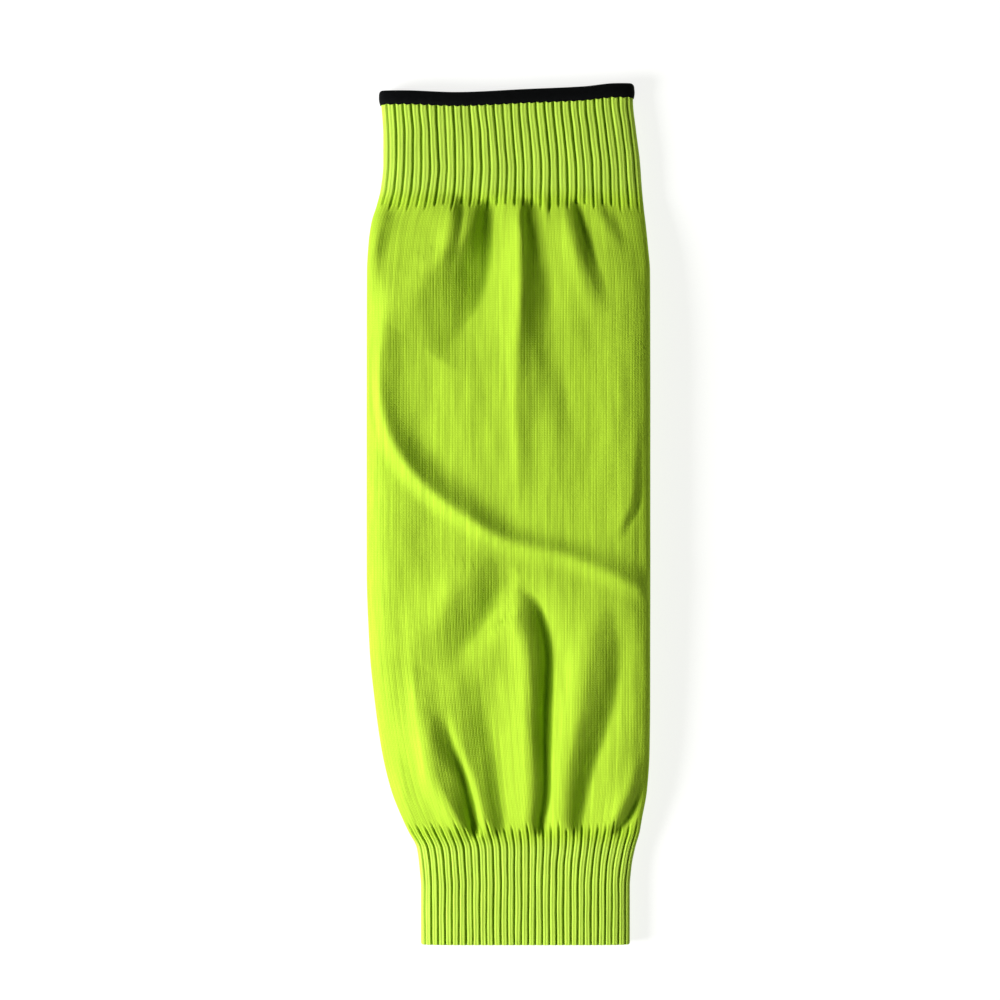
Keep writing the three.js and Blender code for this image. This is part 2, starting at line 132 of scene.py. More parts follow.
FOLDS = {
    "shoulder": Fold(rows(
        (-0.78, -0.01, 0.08, 0), (-0.81, 0.025, 0.1, 0.25), (-0.86, 0.07, 0.1, 0.32),
        (-0.9, 0.13, 0.1, 0)
    ), 5 * MM, 24 * MM, 0.2, 2.1 * MM, 2.1 * MM, 1),
    "first gather": Fold(rows(
        (-0.345, -0.016, 0.04, 0), (-0.34, 0.009, 0.05, 0.38), (-0.35, 0.045, 0.06, 0.45),
        (-0.38, 0.08, 0.08, 0.3), (-0.42, 0.12, 0.1, 0)
    ), 26 * MM, 5 * MM, 0.75, 2.1 * MM, 1.6 * MM, 0.8),
    "second gather": Fold(rows(
        (-0.15, -0.01, 0.07, 0), (-0.15, 0.005, 0.1, 0.5), (-0.15, 0.04, 0.15, 0.8),
        (-0.15, 0.08, 0.25, 1), (-0.18, 0.12, 0.37, 1.27), (-0.24, 0.165, 0.42, 1.25),
        (-0.36, 0.21, 0.4, 0.85), (-0.48, 0.25, 0.34, 0)
    ), 14 * MM, 23 * MM, 0.4, 4 * MM, 1.9 * MM, 0.95),
    "long gather": Fold(rows(
        (0.165, -0.01, 0.07, 0), (0.17, 0.005, 0.08, 0.46), (0.18, 0.025, 0.1, 0.62),
        (0.21, 0.05, 0.12, 0.7), (0.25, 0.095, 0.16, 0.8), (0.28, 0.14, 0.19, 0.86),
        (0.29, 0.19, 0.21, 0.84), (0.285, 0.235, 0.22, 0.72), (0.26, 0.29, 0.2, 0.52),
        (0.23, 0.36, 0.17, 0.36), (0.21, 0.43, 0.14, 0.2), (0.2, 0.5, 0.12, 0)
    ), 21 * MM, 14 * MM, 0.7, 1.3 * MM, 3.2 * MM, 1.5),
    "long gather's end": Fold(rows(
        (0.35, 0.2, 0.16, 0), (0.37, 0.26, 0.17, 0.22), (0.4, 0.32, 0.17, 0.22),
        (0.42, 0.39, 0.15, 0)
    ), 12 * MM, 16 * MM, 0.5, 2.1 * MM, 2.1 * MM, 1),
    "fourth gather": Fold(rows(
        (0.47, -0.01, 0.05, 0), (0.485, 0.005, 0.06, 0.36), (0.52, 0.03, 0.08, 0.52),
        (0.57, 0.065, 0.09, 0.52), (0.62, 0.1, 0.1, 0.4), (0.68, 0.135, 0.11, 0.25),
        (0.74, 0.18, 0.11, 0)
    ), 13 * MM, 11 * MM, 0.65, 3.2 * MM, 1.6 * MM, 1.2),
    "tuck": Fold(rows(
        (0.28, -0.02, 0.03, 0), (0.29, 0.005, 0.03, 0.1), (0.3, 0.035, 0.03, 0)
    ), 2.7 * MM, 3.2 * MM, 0.5, 0.8 * MM, 0.8 * MM, 1),
    "last gather": Fold(rows(
        (0.63, -0.02, 0.05, 0), (0.69, 0.005, 0.06, 0.13), (0.78, 0.04, 0.07, 0.13),
        (0.89, 0.08, 0.08, 0)
    ), 5 * MM, 11 * MM, 0.4, 2.1 * MM, 2.1 * MM, 1),
    "elbow": Fold(rows(
        (-0.52, 0.12, 0.2, 0), (-0.62, 0.17, 0.21, 0.2), (-0.69, 0.23, 0.2, 0.38),
        (-0.72, 0.285, 0.19, 0.48), (-0.69, 0.33, 0.19, 0.52), (-0.61, 0.37, 0.2, 0.6),
        (-0.46, 0.407, 0.22, 0.66), (-0.29, 0.44, 0.22, 0.66), (-0.11, 0.475, 0.19, 0.6),
        (0.02, 0.5, 0.16, 0.53), (0.2, 0.518, 0.13, 0.48), (0.4, 0.527, 0.13, 0.44),
        (0.58, 0.538, 0.15, 0.42), (0.73, 0.549, 0.16, 0.4), (0.89, 0.562, 0.18, 0.38),
        (1.04, 0.575, 0.19, 0.3)
    ), 9 * MM, 48 * MM, 0.7, 1.8 * MM, 3.5 * MM, 1.4),
    "elbow's right end": Fold(rows(
        (0.95, 0.345, 0.05, 0), (0.94, 0.425, 0.06, 0.13), (0.92, 0.475, 0.06, 0.2),
        (0.86, 0.505, 0.05, 0.18), (0.78, 0.54, 0.05, 0)
    ), 13 * MM, 4 * MM, 0.7, 1.1 * MM, 1.1 * MM, 1),
    "upper arm": Fold(rows(
        (0.54, 0.13, 0.35, 0), (0.58, 0.2, 0.42, 0.2), (0.58, 0.315, 0.44, 0.24),
        (0.56, 0.41, 0.42, 0.22), (0.53, 0.48, 0.4, 0)
    ), 11 * MM, 23 * MM, 0.3, 5.3 * MM, 4.2 * MM, 1),
    "hollow below the elbow": Fold(rows(
        (0.03, 0.58, 0.15, 0), (-0.03, 0.608, 0.22, 0.6), (-0.13, 0.645, 0.28, 1.05),
        (-0.24, 0.68, 0.29, 1.05), (-0.34, 0.715, 0.26, 0.6), (-0.42, 0.755, 0.2, 0)
    ), 24 * MM, 14 * MM, 0.5, 4 * MM, 2.7 * MM, 0.9),
    "second rise": Fold(rows(
        (-0.26, 0.705, 0.28, 0), (-0.19, 0.77, 0.4, 0.55), (-0.16, 0.82, 0.4, 0.8),
        (-0.12, 0.875, 0.33, 0.78), (-0.09, 0.925, 0.2, 0.66), (-0.06, 0.975, 0.12, 0.55),
        (-0.06, 0.996, 0.08, 0.37), (-0.055, 1.01, 0.06, 0)
    ), 19 * MM, 14 * MM, 0.6, 2.7 * MM, 2.1 * MM, 0.7),
    "first rise, outside": Fold(rows(
        (-0.51, 0.775, 0.18, 0), (-0.43, 0.83, 0.24, 0.2), (-0.36, 0.88, 0.28, 0.27),
        (-0.29, 0.925, 0.3, 0.29), (-0.24, 0.97, 0.25, 0.24), (-0.21, 1.015, 0.14, 0)
    ), 16 * MM, 8 * MM, 0.7, 2.1 * MM, 2.7 * MM, 1),
    "first rise": Fold(rows(
        (-0.47, 0.8, 0.1, 0), (-0.42, 0.85, 0.17, 0.45), (-0.36, 0.885, 0.2, 0.8),
        (-0.31, 0.915, 0.2, 1.1), (-0.27, 0.95, 0.17, 1.22), (-0.25, 0.98, 0.12, 1.08),
        (-0.24, 0.996, 0.08, 0.7), (-0.235, 1.01, 0.06, 0)
    ), 9 * MM, 6 * MM, 0.5, 3.7 * MM, 1 * MM, 0.65),
    "side ridge": Fold(rows(
        (-0.55, 0.68, 0.14, 0), (-0.53, 0.74, 0.14, 0.14), (-0.5, 0.81, 0.14, 0.18),
        (-0.44, 0.88, 0.14, 0.16), (-0.37, 0.94, 0.12, 0)
    ), 7 * MM, 16 * MM, 0.7, 1.2 * MM, 3 * MM, 1.4),
    "deep rise": Fold(rows(
        (0.05, 0.61, 0.08, 0), (0.16, 0.63, 0.15, 0.55), (0.23, 0.665, 0.16, 0.78),
        (0.27, 0.71, 0.15, 0.84), (0.27, 0.76, 0.14, 0.86), (0.26, 0.805, 0.13, 0.86),
        (0.26, 0.86, 0.12, 0.84), (0.26, 0.935, 0.11, 0.8), (0.23, 0.975, 0.09, 0.64),
        (0.22, 0.995, 0.07, 0.45), (0.22, 1.01, 0.06, 0)
    ), 18 * MM, 16 * MM, 0.5, 2.7 * MM, 0.8 * MM, 0.7),
    "fourth rise": Fold(rows(
        (0.71, 0.63, 0.1, 0), (0.74, 0.68, 0.18, 0.4), (0.75, 0.725, 0.22, 0.64),
        (0.72, 0.78, 0.23, 0.8), (0.66, 0.835, 0.22, 0.84), (0.59, 0.88, 0.2, 0.86),
        (0.54, 0.92, 0.18, 0.82), (0.51, 0.955, 0.14, 0.72), (0.49, 0.985, 0.11, 0.58),
        (0.48, 0.998, 0.08, 0.35), (0.475, 1.012, 0.06, 0)
    ), 14 * MM, 16 * MM, 0.5, 4.2 * MM, 2.1 * MM, 0.7),
    "last rise": Fold(rows(
        (1, 0.875, 0.1, 0), (0.96, 0.925, 0.11, 0.39), (0.9, 0.955, 0.1, 0.56),
        (0.83, 0.98, 0.08, 0.56), (0.77, 0.996, 0.06, 0.36), (0.75, 1.01, 0.06, 0)
    ), 10 * MM, 7 * MM, 0.5, 1.6 * MM, 1.1 * MM, 0.7),
}
FOLD_STEPS = 4  # straight steps between two rows of a fold
EASE_POWER = 1.7  # how quickly the cloth eases off beyond a fold
FLANK_SPREAD = 1.4  # how far the climb's soft ends reach past the flank, in flanks
SIDE_EASE = 0.1  # the share of the half width over which folds die out at the sides
EDGE_TAPS = (-1, -0.6, -0.2, 0.2, 0.6, 1)  # places that a fold's profile is averaged over

SIDE_LEVEL = 0.42  # where a section is widest, as a share of its height
CROWN_POWER = 5.5  # of the upper layer's section, where 2 is an ellipse
SIDE_ROUND = 0.75  # the lower side's rounding, as a share of the section's height

# The under layer's pleats beside the cuffs
PLEAT_DEPTH = 1.6 * MM
PLEAT_COUNT = 9
PLEAT_START = 6 * MM
PLEAT_REACH = 42 * MM

# The soft waves that a laid knit keeps: (length, height, how many)
SOFT_WAVES = [(52 * MM, 0.2 * MM, 5), (17 * MM, 0.04 * MM, 6)]
SOFT_TURN = 0.5  # the spread of their directions
SOFT_RATES = (0.7, 1.4)  # the spread of their rates, as shares of the stated one
SOFT_REACH = 12 * MM  # from a cuff to where they are full
HIGHLIGHT_REACH = 11 * MM  # from the body to where the cuffs' painted highlight is full
CREASE_REACH = 12  # how many columns to each side a crease is judged against
CREASE_DEPTH = 1.1 * MM  # below the cloth around it, where a crease's foot gets its darkest painted shade
CREASE_SHADE = 0.95  # a crease's foot gets painted shade, as dark as a valley at this share of its depth
LINING_SHADE = 0.6  # and the inside of the tube gets painted shade at this share

# How finely the pieces are made
SIDE_POINTS = 40
CROWN_POINTS = 600
WALES_PER_RIB = 3
WALE_STEPS_OVER = 4
WALE_STEPS_UNDER = 2
JOINT_STEP = 1 * MM
JOINT_ROWS = 9
BODY_ROWS = 116
BODY_LINING_ROWS = 72
CUFF_ROWS = 30
CUFF_LINING_ROWS = 22
CUFF_LINING_STEPS = 4
ROUNDED_RINGS = 5
SEED = 7

STITCH_RELIEF = 0.14 * MM
UPPER_RIB_END = UPPER_END - 1.2 * MM  # inside the binding
LOWER_RIB_END = LOWER_END + 0.75 * MM  # where its rounded end begins

CAMERA_LENS = 100.0
CAMERA_SENSOR = 36.0
VIEW_SPAN = 530 * MM  # what the picture's width takes in, at the sleeve
VIEW_MIDDLE = (-4.5 * MM, 7.4 * MM)
VIEW_LEVEL = 11 * MM


def smooth(share):
    """An even ease from 0 to 1."""
    share = np.clip(share, 0, 1)
    return share * share * (3 - 2 * share)


def eased_rows(xs, ys, at):
    """A smooth curve through rows in rising x, which never overshoots them."""
    xs = np.asarray(xs, float)
    ys = np.asarray(ys, float)
    slope = np.diff(ys) / np.diff(xs)
    product = slope[:-1] * slope[1:]
    total = slope[:-1] + slope[1:]
    bends = np.zeros(len(xs))
    same = product > 0
    bends[1:-1][same] = 2 * product[same] / total[same]
    at = np.clip(at, xs[0], xs[-1])
    row = np.clip(np.searchsorted(xs, at, side="right") - 1, 0, len(xs) - 2)
    span = xs[row + 1] - xs[row]
    t = (at - xs[row]) / span
    rise = ys[row + 1] - ys[row]
    start = bends[row] * span
    end = bends[row + 1] * span
    bend = (3 * rise - 2 * start - end) * t**2 + (start + end - 2 * rise) * t**3
    return ys[row] + start * t + bend


def outline_at(y):
    """The laid left and right edges and the height of the sleeve at y."""
    zones = [ZONES[row.zone] for row in OUTLINE]
    downs = [-(zone.top - row.at * zone.length) for row, zone in zip(OUTLINE, zones)]
    lefts = [zone.shift - row.left * zone.width / 2 for row, zone in zip(OUTLINE, zones)]
    rights = [zone.shift + row.right * zone.width / 2 for row, zone in zip(OUTLINE, zones)]
    heights = [row.height * zone.height for row, zone in zip(OUTLINE, zones)]
    return [eased_rows(downs, values, -np.asarray(y, float)) for values in (lefts, rights, heights)]


def section(y):
    """One laid section as points from under the middle, round the right side and back."""
    left, right, height = (float(value) for value in outline_at(y))
    half = (right - left) / 2
    middle = (right + left) / 2
    side = height * SIDE_LEVEL
    turn_reach = min(height * SIDE_ROUND, half / 2)
    turn = np.linspace(0, math.pi / 2, SIDE_POINTS, endpoint=False)
    low_x = half - turn_reach + turn_reach * np.sin(turn)
    low_z = side * (1 - np.cos(turn))
    over = np.linspace(0, math.pi, CROWN_POINTS)
    cosine = np.cos(over)
    high_x = half * np.sign(cosine) * np.abs(cosine) ** (2 / CROWN_POWER)
    high_z = side + (height - side) * np.abs(np.sin(over)) ** (2 / CROWN_POWER)
    x = np.concatenate([[0], low_x, high_x, -low_x[::-1], [0]]) + middle
    z = np.concatenate([[0], low_z, high_z, low_z[::-1], [0]])
    reach = np.concatenate([[0], np.cumsum(np.hypot(np.diff(x), np.diff(z)))])
    return x, z, reach, middle, half


def girth(y):
    """The length round the sleeve at y."""
    return section(y)[2][-1]


def fold_line(fold, depth):
    """A fold's rows joined by a smooth curve, as x, y below the body's top, flank and climb."""
    scale = (BODY_WIDTH / 2, -BODY_LENGTH, BODY_WIDTH / 2, depth)
    places = np.array(fold.rows, float) * scale
    knots = np.vstack([2 * places[0] - places[1], places, 2 * places[-1] - places[-2]])
    line = []
    for k in range(1, len(knots) - 2):
        a, b, c, d = knots[k - 1 : k + 3]
        for t in np.linspace(0, 1, FOLD_STEPS, endpoint=False):
            bend = (2 * a - 5 * b + 4 * c - d) * t**2 + (3 * b - a - 3 * c + d) * t**3
            line.append(b + 0.5 * ((c - a) * t + bend))
    line.append(places[-1])
    line = np.array(line)
    line[:, 2] = np.maximum(line[:, 2], MM)
    line[:, 3] = np.maximum(line[:, 3], 0)
    return line


def fold_profile(off, flank, fold):
    """The height across a fold as a share of its climb. off is below 0 on the flank's side."""
    crest = fold.crest * (1 - np.clip((-off - flank) / fold.before, 0, 1)) ** EASE_POWER
    trough = (fold.crest - 1) * (1 - np.clip(off / fold.after, 0, 1)) ** EASE_POWER
    up = np.clip(0.5 + (-off / flank - 0.5) / FLANK_SPREAD, 0, 1)
    up = smooth(up**fold.lean)
    return crest * up + trough * (1 - up)


def fold_lift(fold, x, y, depth):
    """How far one fold moves the points x, y of the laid body up or down."""
    line = fold_line(fold, depth)
    nearest = np.full(x.shape, np.inf)
    off = np.zeros(x.shape)
    flank = np.full(x.shape, MM)
    climb = np.zeros(x.shape)
    for start, end in zip(line[:-1], line[1:]):
        way = end[:2] - start[:2]
        from_x = x - start[0]
        from_y = y - start[1]
        t = np.clip((from_x * way[0] + from_y * way[1]) / (way @ way), 0, 1)
        off_x = from_x - t * way[0]
        off_y = from_y - t * way[1]
        distance = np.hypot(off_x, off_y)
        nearer = distance < nearest
        turned = way[0] * off_y - way[1] * off_x
        nearest = np.where(nearer, distance, nearest)
        off = np.where(nearer, np.sign(turned) * distance, off)
        flank = np.where(nearer, start[2] * (1 - t) + end[2] * t, flank)
        climb = np.where(nearer, start[3] * (1 - t) + end[3] * t, climb)
    up = np.clip(-off / flank, 0, 1)
    rounding = fold.crease_round + (fold.crest_round - fold.crease_round) * up
    shares = [fold_profile(off + tap * rounding, flank, fold) for tap in EDGE_TAPS]
    return climb * sum(shares) / len(EDGE_TAPS)


def soft_waves(x, y):
    """The low uneven waves of a soft knit that lies by itself."""
    rng = np.random.default_rng(SEED)
    total = np.zeros(x.shape)
    for length, height, count in SOFT_WAVES:
        for _ in range(count):
            turn = rng.normal(0, SOFT_TURN)
            rate = 2 * math.pi / length * rng.uniform(*SOFT_RATES)
            phase = rng.uniform(0, 2 * math.pi)
            total += height * np.sin(rate * (x * math.cos(turn) + y * math.sin(turn)) + phase)
    return total


def fold_height(x, y, across, over, depth):
    """How far the folds and the pleats underneath move the points of a grid up or down."""
    down = BODY_TOP - y
    from_side = smooth((1 - np.abs(across)) / SIDE_EASE)
    lift = sum(fold_lift(fold, x, -down, depth) for fold in FOLDS.values())
    inside = np.minimum(down, BODY_LENGTH - down)
    waves = soft_waves(x, y) * smooth(inside / SOFT_REACH)
    fade = smooth(inside / PLEAT_START) * smooth(1 - inside / PLEAT_REACH)
    pleats = PLEAT_DEPTH * fade * np.cos(across * PLEAT_COUNT * math.pi / 2) ** 2
    return from_side * np.where(over, lift + waves, pleats)


def laid_grid(ys, shares, depth):
    """The sleeve's outer surface as rows by columns of points, with its outward normals."""
    ys = np.concatenate([[ys[0] + JOINT_STEP], ys, [ys[-1] - JOINT_STEP]])
    grid = np.zeros((len(ys), len(shares), 3))
    across = np.zeros((len(ys), len(shares)))
    for row, y in enumerate(ys):
        x, z, reach, middle, half = section(y)
        goal = shares * reach[-1]
        grid[row, :, 0] = np.interp(goal, reach, x)
        grid[row, :, 2] = np.interp(goal, reach, z)
        across[row] = (grid[row, :, 0] - middle) / half
    grid[:, :, 1] = ys[:, None]
    over = np.broadcast_to((shares > 0.25) & (shares < 0.75), across.shape)
    grid[:, :, 2] += fold_height(grid[:, :, 0], grid[:, :, 1], across, over, depth)
    above = smooth((grid[:, :, 1] - BODY_TOP) / (UPPER_END - BODY_TOP))
    grid[:, :, 1] += EDGE_RISE * above * eased_rows(EDGE_ACROSS, EDGE_WAVE, across)
    around = np.roll(grid, -1, axis=1) - np.roll(grid, 1, axis=1)
    along = np.gradient(grid, ys, axis=0)
    normal = np.cross(along, around)
    normal /= np.linalg.norm(normal, axis=2, keepdims=True)
    return grid[1:-1], normal[1:-1]


def stretch(top, bottom, count, joint_above, joint_below):
    """Rows from top to bottom, close together beside the joints with the body."""
    near = JOINT_STEP * np.arange(JOINT_ROWS)
    start = top - near if joint_above else np.array([top])
    end = bottom + near[::-1] if joint_below else np.array([bottom])
    between = np.linspace(start[-1], end[0], count + 1)[1:-1]
    return np.concatenate([start, between, end])


def ripple(count, length, ys, rng, waves=3):
    """Smooth seeded values from about -1 to 1: one run along ys for each of count places."""
    total = np.zeros((len(ys), count))
    for wave in range(1, waves + 1):
        phase = rng.uniform(0, 2 * math.pi, count)
        rate = rng.uniform(0.7, 1.3, count) * 2 * math.pi * wave / length
        total += np.sin(np.outer(ys, rate) + phase) / wave
    return total / 1.5


class Knit:
    """The relief of the stitches, the same for all the pieces, so that they meet."""

    UPPER_TIPS = (1 * MM, 8 * MM)  # how far a valley runs out into the body, at least and most
    LOWER_TIPS = (3 * MM, 11 * MM)
    VALLEY = 0.25  # from a valley's middle to the edge of the rib's flat crest, in ribs
    NARROWEST = 0.35  # a valley's width at its tip, as a share of its width in the cuff
    GROOVE = 0.17  # the groove between a rib's two wales, as a share of the rib's depth
    SWAY = 0.06  # how far a rib wanders to a side, in ribs
    SWAY_LENGTH = 60 * MM
    SWAY_START = 8 * MM  # from the body to where a rib wanders freely
    WALE_LENGTH = 110 * MM  # the length over which a wale's depth varies
    WALE_CHANGE = 0.2  # the share of its depth that varies
    WALE_LEVEL = 0.03 * MM  # the most that one wale lies below its neighbours
    WALE_POWER = 0.7  # a wale is rounder where this is nearer 1
    VALLEY_DEPTHS = (0.7, 1.1)  # the least and the most, as shares of the rib's depth

    def __init__(self, sizes):
        self.sizes = sizes
        self.wales = sizes.rib_count * WALES_PER_RIB
        quarter = self.wales // 4
        under = np.arange(quarter * WALE_STEPS_UNDER) / (quarter * WALE_STEPS_UNDER) * 0.25
        steps = 2 * quarter * WALE_STEPS_OVER
        over = 0.25 + np.arange(steps) / steps * 0.5
        self.shares = np.concatenate([under, over, 0.75 + under])
        rng = np.random.default_rng(SEED)
        self.upper_tips = rng.uniform(*self.UPPER_TIPS, sizes.rib_count)
        self.lower_tips = rng.uniform(*self.LOWER_TIPS, sizes.rib_count)
        self.level = rng.uniform(0, 1, self.wales)
        self.wander = rng.integers(1, 1000)
        self.shift = rng.uniform(-1, 1, sizes.rib_count)
        self.valley = rng.uniform(*self.VALLEY_DEPTHS, sizes.rib_count)

    def ribbed(self, ys, shares):
        """How open each rib's valley is: 1 on the cuffs, and 0 on the body beyond its tip."""
        rib = np.floor(shares * self.sizes.rib_count).astype(int) % self.sizes.rib_count
        into = np.minimum(BODY_TOP - ys, ys - BODY_FOOT)[:, None]
        tips = np.where(ys[:, None] > 0, self.upper_tips[rib], self.lower_tips[rib])
        return smooth(1 - into / tips)

    def sunk(self, ys, shares):
        """How far the knit's surface lies below the crests, in metres."""
        sizes = self.sizes
        rng = np.random.default_rng(self.wander)
        open_share = self.ribbed(ys, shares)
        from_body = np.maximum(ys - BODY_TOP, BODY_FOOT - ys)[:, None]
        sway = ripple(sizes.rib_count, self.SWAY_LENGTH, ys, rng) + self.shift
        sway = np.concatenate([sway, sway[:, :1]], axis=1) * smooth(from_body / self.SWAY_START)
        rib_at = shares * sizes.rib_count
        low = np.floor(rib_at).astype(int)
        share = rib_at - low
        phase = rib_at + self.SWAY * (sway[:, low] * (1 - share) + sway[:, low + 1] * share)
        off = np.abs((phase + 0.5) % 1 - 0.5)
        lobe = 0.5 / WALES_PER_RIB
        groove = self.GROOVE * (1 + np.cos(math.pi * np.clip(off / lobe, 0, 1))) / 2
        narrow = self.NARROWEST + (1 - self.NARROWEST) * open_share
        slope = 1 - (0.5 - off) / self.VALLEY / narrow
        deep = self.valley[low % sizes.rib_count]
        ribs = sizes.rib_depth * open_share * (groove + deep * smooth(slope))

        wale_at = shares * self.wales
        wale = np.floor(wale_at).astype(int) % self.wales
        own = ripple(self.wales, self.WALE_LENGTH, ys, rng)[:, wale]
        full = 1 - self.WALE_CHANGE + self.WALE_CHANGE * own
        crest = full * np.abs(np.sin(math.pi * wale_at)) ** self.WALE_POWER
        wales = sizes.wale_depth * (1 - crest) + self.WALE_LEVEL * self.level[wale]
        return ribs + wales * (1 - open_share)


# One ring of points round a wall: their shares of the way round, the row of stitches that it
# lies on, its points' painted shade as a share of a valley's, and its share of the cuffs' painted
# highlight
Ring = namedtuple("Ring", "points shares row sunk drawn", defaults=(0.0, 0.0))


def bridge(first, second):
    """Triangles between two rings, as (ring, column) corners, for columns at any shares."""
    if len(first) == len(second):
        c = np.arange(len(first))
        near = np.zeros(len(first), int)
        far = near + 1
        a, b = np.stack([near, c], 1), np.stack([near, c + 1], 1)
        d, e = np.stack([far, c], 1), np.stack([far, c + 1], 1)
        return np.concatenate([np.stack([a, b, d], 1), np.stack([b, e, d], 1)])
    ahead = (np.append(first[1:], 1.0), np.append(second[1:], 1.0))
    triangles = []
    i = j = 0
    while i < len(first) or j < len(second):
        if j >= len(second) or (i < len(first) and ahead[0][i] <= ahead[1][j]):
            triangles.append([(0, i), (0, i + 1), (1, j)])
            i += 1
        else:
            triangles.append([(0, i), (1, j + 1), (1, j)])
            j += 1
    return np.array(triangles)


def mesh_from_rings(name, rings, wales, sharp=()):
    """A closed wall whose rings follow each other round its skin and end where they began.

    Its UV map counts wales round the sleeve and courses along it. One point attribute holds the
    painted shade of each point, as a share of a valley's, and another its share of the cuffs'
    painted highlight. The rings numbered in sharp are hard edges.
    """
    counts = np.array([len(ring.points) for ring in rings])
    starts = np.cumsum(counts) - counts
    faces = []
    corners = []
    for k, ring in enumerate(rings):
        n = (k + 1) % len(rings)
        pair = (ring, rings[n])
        fill = bridge(ring.shares, rings[n].shares)
        which, column = fill[..., 0], fill[..., 1]
        faces.append(np.array([starts[k], starts[n]])[which] + column % counts[[k, n]][which])
        u = np.zeros(column.shape)
        for side in (0, 1):
            full = np.append(pair[side].shares, 1.0) * wales
            u = np.where(which == side, full[np.minimum(column, len(full) - 1)], u)
        v = np.where(which == 0, pair[0].row, pair[1].row)
        corners.append(np.stack([u, v], axis=-1))
    mesh = bpy.data.meshes.new(name)
    points = np.concatenate([ring.points for ring in rings])
    mesh.from_pydata(points.tolist(), [], np.concatenate(faces).tolist())
    layer = mesh.uv_layers.new(name="Knit")
    layer.uv.foreach_set("vector", np.concatenate(corners).astype(np.float32).ravel())
    # Painted shade and the share of the cuffs' painted highlight, for each point
    sunk = np.concatenate([np.broadcast_to(ring.sunk, len(ring.points)) for ring in rings])
    depth = mesh.attributes.new(name="Sunk", type="FLOAT", domain="POINT")
    depth.data.foreach_set("value", sunk.astype(np.float32))
    drawn = np.repeat([ring.drawn for ring in rings], counts)
    tight = mesh.attributes.new(name="Drawn", type="FLOAT", domain="POINT")
    tight.data.foreach_set("value", drawn.astype(np.float32))
    mesh.polygons.foreach_set("use_smooth", [True] * len(mesh.polygons))
    ends = np.zeros(len(mesh.edges) * 2, np.int32)
    mesh.edges.foreach_get("vertices", ends)
    ring_of = np.searchsorted(starts, ends, side="right") - 1
    same = ring_of[::2] == ring_of[1::2]
    hard = same & np.isin(ring_of[::2], [k % len(rings) for k in sharp])
    mesh.edges.foreach_set("use_edge_sharp", hard)
    mesh.update()
    piece = bpy.data.objects.new(name, mesh)
    bpy.context.scene.collection.objects.link(piece)
    return piece


def cuff_highlight(ys):
    """The share of the cuffs' painted highlight at ys: 0 in the body, and 1 well inside a cuff."""
    return smooth(np.maximum(ys - BODY_TOP, BODY_FOOT - ys) / HIGHLIGHT_REACH)


def crease_shade(grid, ys, shares):
    """How much painted shade a crease gives each point: 0 on open cloth, and 1 at the foot of a
    deep one.
    """
    lift = grid[:, :, 2] - laid_grid(ys, shares, 0.0)[0][:, :, 2]
    near = range(-CREASE_REACH, CREASE_REACH + 1)
    around = sum(np.roll(lift, step, axis=1) for step in near) / len(near)
    return np.clip((around - lift) / CREASE_DEPTH, 0, 1)


def knitted_tube(name, knit, ys, lining_rows, lining_steps, rounded_end=False):
    """One piece of the sleeve: its knitted outside, its lining and the rims between them."""
    sizes = knit.sizes
    grid, normal = laid_grid(ys, knit.shares, sizes.fold_depth)
    sunk = knit.sunk(ys, knit.shares)
    outer = grid - normal * sunk[:, :, None]
    outer[:, :, 2] = np.maximum(outer[:, :, 2], 0)
    course = sizes.course_height
    # The cuffs' painted highlight for each row, and painted shade in the rib valleys and at crease
    # feet
    tight = cuff_highlight(ys)
    shaded = sunk / sizes.rib_depth + CREASE_SHADE * crease_shade(grid, ys, knit.shares)
    rings = [
        Ring(points, knit.shares, y / course, deep, drawn)
        for points, y, deep, drawn in zip(outer, ys, shaded, tight)
    ]
    lining_shares = np.arange(sizes.rib_count * lining_steps) / (sizes.rib_count * lining_steps)
    lining_ys = np.linspace(ys[0], ys[-1], lining_rows + 1)
    lining, facing = laid_grid(lining_ys, lining_shares, sizes.fold_depth)
    open_share = knit.ribbed(lining_ys, lining_shares)
    valley = smooth(np.abs((lining_shares * sizes.rib_count + 0.5) % 1 - 0.5) * 2)
    lining = lining - facing * (sizes.wall + sizes.rib_depth * open_share * valley)[:, :, None]
    # The inside of the tube takes painted shade all over
    back = [
        Ring(points, lining_shares, y / course, LINING_SHADE, drawn)
        for points, y, drawn in zip(lining, lining_ys, cuff_highlight(lining_ys))
    ]
    sharp = [0, len(rings) - 1, len(rings), -1]
    if rounded_end:
        inside = [
            np.interp(knit.shares, lining_shares, back[-1].points[:, axis], period=1)
            for axis in range(3)
        ]
        inner = np.stack(inside, axis=1)
        for t in np.arange(1, ROUNDED_RINGS + 1) / (ROUNDED_RINGS + 1):
            around = outer[-1] * (1 - smooth(t)) + inner * smooth(t)
            around[:, 1] -= 0.5 * sizes.wall * math.sin(math.pi * t)
            row = (ys[-1] - t * MM) / course
            rings.append(Ring(around, knit.shares, row, shaded[-1], tight[-1]))
        sharp = [0, -1]
    rings += back[::-1]
    return mesh_from_rings(name, rings, knit.wales, sharp)


